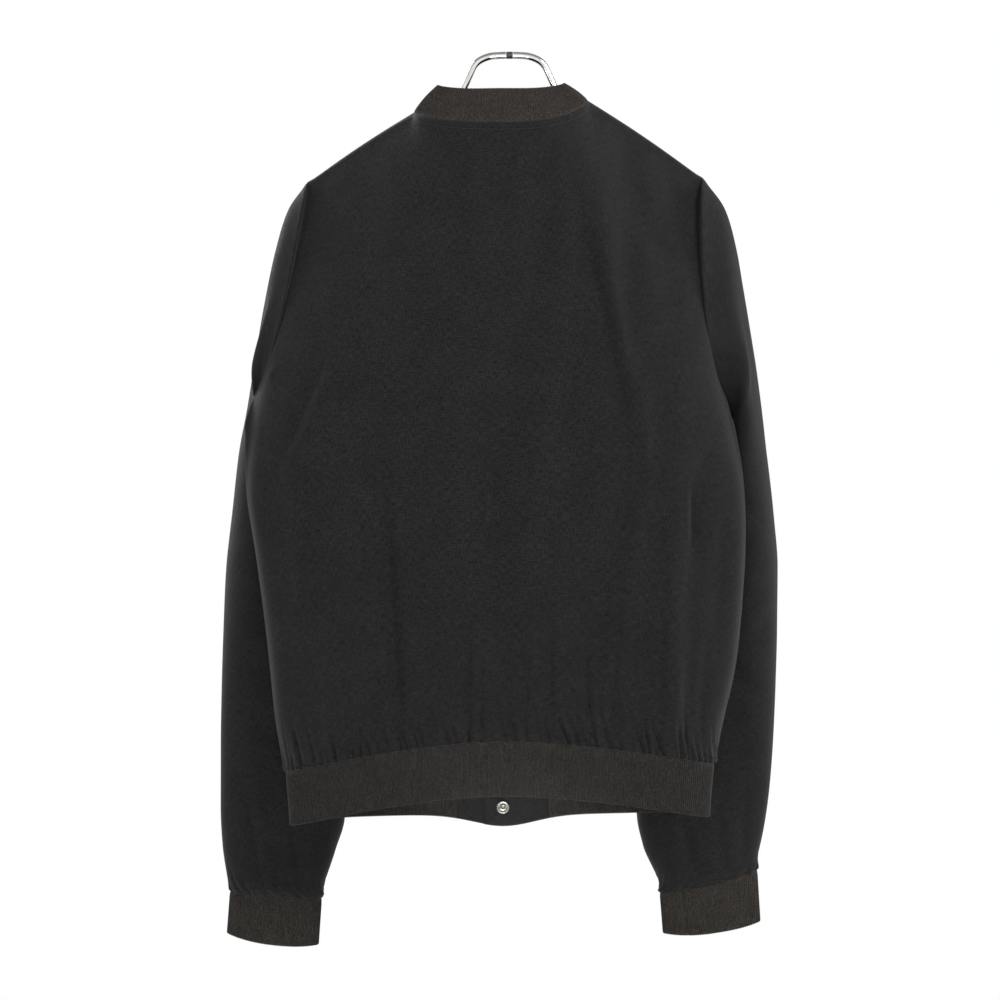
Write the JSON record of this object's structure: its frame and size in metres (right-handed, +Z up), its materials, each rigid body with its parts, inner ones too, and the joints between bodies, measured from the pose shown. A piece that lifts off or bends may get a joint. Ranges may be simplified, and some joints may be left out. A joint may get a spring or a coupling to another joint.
{
  "type": "bomber jacket on a rod hanger",
  "caption": "Bomber jacket of dark woven cloth with knitted rib collar, cuffs and hem band, closed by snaps in front, hanging empty from the neck arch of a bent rod hanger.",
  "frame": {"origin": "top centre of the hanger's neck arch, where it is held", "axes": "+Z up, the jacket's front faces -Y and its back +Y, +X is the wearer's left"},
  "size_m": [0.528, 0.2267, 0.8346],
  "materials": {
    "cloth": "plain woven, matt",
    "rib": "fine rib knit, matt",
    "snap": "dull grey metal",
    "chrome": "polished",
    "joiner": "satin dark grey"
  },
  "bodies": {
    "root": {"back": "cloth", "front_left": "cloth", "front_right": "cloth", "placket_left": "cloth", "placket_right": "cloth", "hem_tab_left": "cloth", "hem_tab_right": "cloth", "sleeve_left": "cloth", "sleeve_right": "cloth", "collar": "rib", "hem_rib": "rib", "cuff_left": "rib", "cuff_right": "rib", "snap_cap_1": "snap", "snap_ring_1": "snap", "snap_cap_2": "snap", "snap_ring_2": "snap", "snap_cap_3": "snap", "snap_ring_3": "snap", "snap_cap_4": "snap", "snap_ring_4": "snap", "snap_cap_5": "snap", "snap_ring_5": "snap", "snap_cap_6": "snap", "snap_ring_6": "snap", "snap_cap_7": "snap", "snap_ring_7": "snap", "hanger_rod_left": "chrome", "hanger_rod_right": "chrome", "hanger_joiner": "joiner"}
  },
  "joints": []
}
